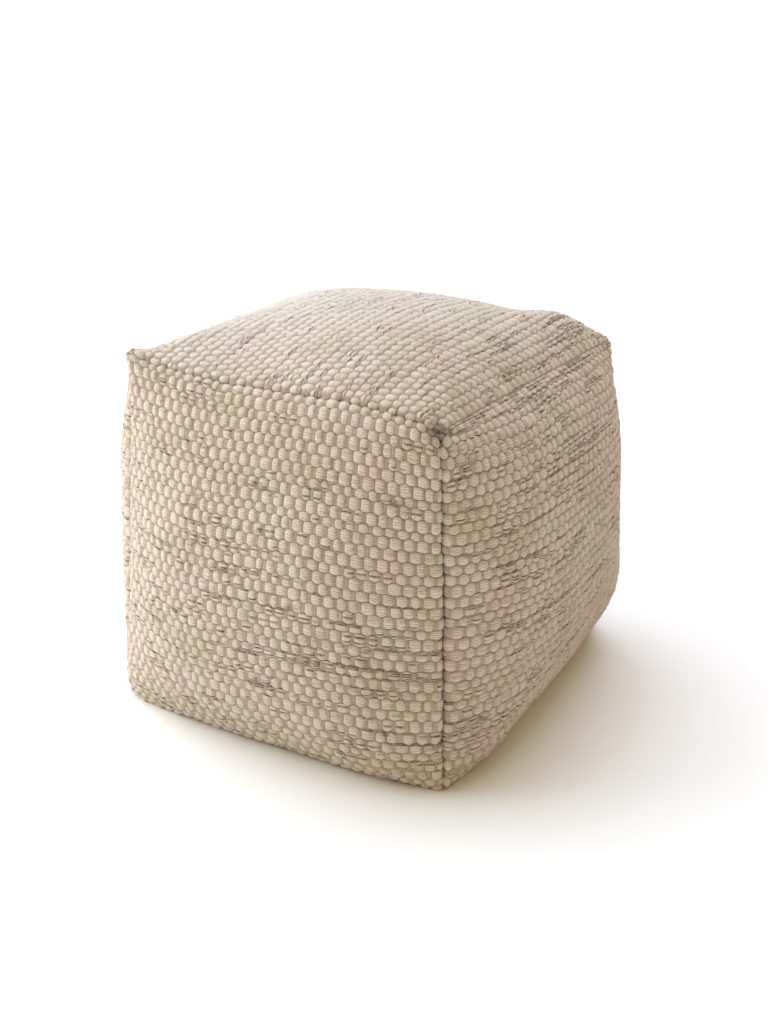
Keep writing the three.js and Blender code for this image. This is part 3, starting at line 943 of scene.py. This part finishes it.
# %% Woven wool
def woven_wool(name):
    """The cloth's material, which reads the weave's own places from the points."""
    material = bpy.data.materials.new(name)
    material.use_nodes = True
    tree = Tree(material)
    shader = tree.nodes["Principled BSDF"]
    standing, crowded, rim = (tree.attribute(kind) for kind in ("standing", "crowded", "rim"))
    along, up, face = tree.apart(tree.attribute("weave", "Vector"))
    place = tree.add("ShaderNodeTexCoord", output="Object")

    row = up.math("FLOOR")
    in_repeat = (along + row * 0.5).math("FRACT")
    pebble_end = FINE[0] / (FINE[0] + FINE[1])
    hollow = in_repeat.ramp(pebble_end - HOLLOW_EDGE, pebble_end + HOLLOW_EDGE)
    strand = (up * STRANDS).math("FLOOR")
    line = (2 * (up * STRANDS - strand) - 1).math("ABSOLUTE")
    thread = ((in_repeat - pebble_end) * (WARP_THREADS / (1 - pebble_end))).math("FRACT")
    thread_line = (2 * thread - 1).math("ABSOLUTE")

    # Every noise that a tint or a dark strand follows.
    noise = {"fibre": tree.noise(place, FIBRE_SCALE, FINE_DETAIL)}
    for kind, (step, next_step, face_step, detail) in NOISES.items():
        by = row if kind in ("crowd", "yarn") else strand
        spot = tree.vector(along * step, by * next_step + face * face_step)
        noise[kind] = tree.noise(spot, 1.0, detail)
    for kind, (step, next_step, face_step, start) in PATCHES.items():
        spot = tree.vector(along * step, row * next_step, face * face_step + start)
        noise[kind] = tree.noise(spot, 1.0, 1.0)

    def tinted(cloth, tints):
        """The cloth's colour with each tint blended in where its noise says."""
        for kind, low, high, most, tint in tints:
            cloth = tree.blend(noise[kind].ramp(low, high) * most, cloth, tint)
        return cloth

    # Yarns, patches and strands differ in colour. The hollows show the warp. Fibres lie every
    # way in the wool, so its tone is mottled at their scale.
    cloth = tree.blend(hollow, tinted(CREAM, STRAND_TINTS), WARP)
    cloth = tinted(cloth, FIBRE_TINTS)

    # Painted light: the top is whitened, most of all at the back on the left, where the light falls
    # strongest.
    x, y, z = tree.apart(place)
    painted_top_light = z.ramp(*TOP_LIGHT_HEIGHT) * (y - x).ramp(*TOP_LIGHT_SIDE)
    cloth = tree.blend(painted_top_light * MOST_TOP_LIGHT, cloth, PAINTED_TOP_LIGHT)

    # Dark strands: thin dashes along the middle of a strand, on the pebbles alone.
    level = noise["run"] + (noise["crowd"] - 0.5) * CROWDING + (crowded - 0.5) * STREAKING
    dark = level.ramp(*DARK_LEVEL) * (1 - line.ramp(*DARK_WIDTH)) * (1 - hollow)
    cloth = tree.blend(dark * (noise["dash"] * DASH_SPREAD + DASH_LEAST), cloth, DARK_WOOL_AND_SEAM_SHADE)

    # Painted shade: the lines between strands and threads are darkened, and so is all that lies deep.
    lines = line.ramp(*LINE_WIDTH) * (1 - hollow) + thread_line.ramp(*THREAD_WIDTH) * hollow
    lines = lines * (hollow * (THREAD_SHADE - LINE_SHADE) + LINE_SHADE)
    cloth = tree.blend(lines, cloth, DARK_TONE_AND_SHADE)
    cloth = tree.blend((1 - standing.ramp(0.0, DEPTH_HEIGHT)) * DEPTH_SHADE, cloth, DARK_TONE_AND_SHADE)
    # Painted shade in the seams' grooves and in the tucked corner.
    cloth = tree.blend(rim * SEAM_SHADE, cloth, DARK_WOOL_AND_SEAM_SHADE)
    tree.links.new(cloth.socket, shader.inputs["Base Color"])

    # Strands and threads are round, and fuzz covers them.
    across = line * (1 - hollow) + thread_line * hollow
    round_strand = (1 - across * across).math("SQRT")
    fuzz = tree.noise(place, FUZZ_SCALE, FINE_DETAIL)
    height = round_strand * STRAND_BUMP + fuzz * FUZZ_BUMP
    relief = {"Strength": BUMP_STRENGTH, "Distance": MM, "Height": height}
    tree.links.new(tree.add("ShaderNodeBump", None, relief).socket, shader.inputs["Normal"])
    for name, amount in MATT.items():
        shader.inputs[name].default_value = amount
    return material


WOOL = {"panel_cloth": woven_wool("panel_wool"), "strip_cloth": woven_wool("strip_wool")}
print("nodes in the wool:", len(WOOL["panel_cloth"].node_tree.nodes))

# %% [markdown]
# ## Give each piece its wool and its body
# Every piece of cloth gets its wool, rides on the one body, and hides the CAD solid it stands for.

for name, (*_, node, slot) in PIECES.items():
    woven[name].data.materials.append(WOOL[slot])
    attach(woven[name], "root")
    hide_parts(node)

# %% [markdown]
# ## A white studio
# The pouf stands on a white floor that runs on past the view. A soft box close by on the left
# grazes the front, so the light falls off across it, and two wide cool suns stand for the
# ceiling and the left wall. A dim warm world fills in the shadows, and only shows as white.

# %% Floor
FLOOR_SIZE = 60.0
bpy.ops.mesh.primitive_plane_add(size=FLOOR_SIZE, location=(0, 0, 0))
floor = bpy.context.object
floor.name = "floor"
floor_paint = bpy.data.materials.new("floor_paint")
floor_paint.use_nodes = True
floor_shader = floor_paint.node_tree.nodes["Principled BSDF"]
floor_shader.inputs["Base Color"].default_value = (0.94, 0.94, 0.94, 1)
floor_shader.inputs["Roughness"].default_value = 0.9
floor.data.materials.append(floor_paint)


# %% Lights
def lamp(name, kind, place, aim, **settings):
    """A lamp at a place, turned to the spot that it aims at, and that no camera sees."""
    light = bpy.data.lights.new(name, kind)
    for key, setting in settings.items():
        setattr(light, key, setting)
    holder = bpy.data.objects.new(name, light)
    holder.location = place
    holder.rotation_euler = (Vector(place) - Vector(aim)).to_track_quat("Z", "Y").to_euler()
    holder.visible_camera = False
    bpy.context.scene.collection.objects.link(holder)


SPREAD = np.radians(60)  # how wide a patch of the sky each sun fills, which softens its shadows
FOOT, BODY = (0, 0, 0), (0, 0, 0.2)
lamp("window", "AREA", (-1.3, -0.6, 0.7), BODY, size=1.2, energy=19, color=(0.92, 0.97, 1.0))
lamp("left_wall", "SUN", (-1.0, 0, 1.2), FOOT, energy=1.1, angle=SPREAD, color=(0.62, 0.78, 1.0))
lamp("ceiling", "SUN", (-0.3, 0.5, 1.0), FOOT, energy=2.5, angle=SPREAD, color=(0.71, 0.8, 1.0))

# %% World
world = bpy.data.worlds.new("studio")
bpy.context.scene.world = world
world.use_nodes = True
sky = world.node_tree.nodes["Background"]
sky.inputs["Color"].default_value = (1.0, 0.8, 0.45, 1)
sky.inputs["Strength"].default_value = 0.5
studio = Tree(world)
WHITE = {"Color": (1, 1, 1, 1), "Strength": 1.2}
seen = studio.add("ShaderNodeBackground", None, WHITE)
is_seen = studio.add("ShaderNodeLightPath", output="Is Camera Ray")
both = studio.add("ShaderNodeMixShader", None, [is_seen, Value(studio, sky.outputs[0]), seen])
studio.links.new(both.socket, studio.nodes["World Output"].inputs["Surface"])
bpy.context.scene.view_settings.view_transform = "Standard"

# %% Camera
CAMERA_PLACE = np.array([854.1, -1469.6, 880.8]) * MM - MIDDLE
YAW, PITCH = -0.519, 0.385  # radians: turned to the left, and looking down
LENS = 52.26  # mm, on a sensor 36 mm on its long side
look = Vector((np.sin(YAW) * np.cos(PITCH), np.cos(YAW) * np.cos(PITCH), -np.sin(PITCH)))
camera = bpy.data.objects.new("camera", bpy.data.cameras.new("camera"))
camera.data.lens = LENS
camera.location = CAMERA_PLACE
camera.rotation_euler = look.to_track_quat("-Z", "Y").to_euler()
bpy.context.scene.collection.objects.link(camera)
bpy.context.scene.camera = camera
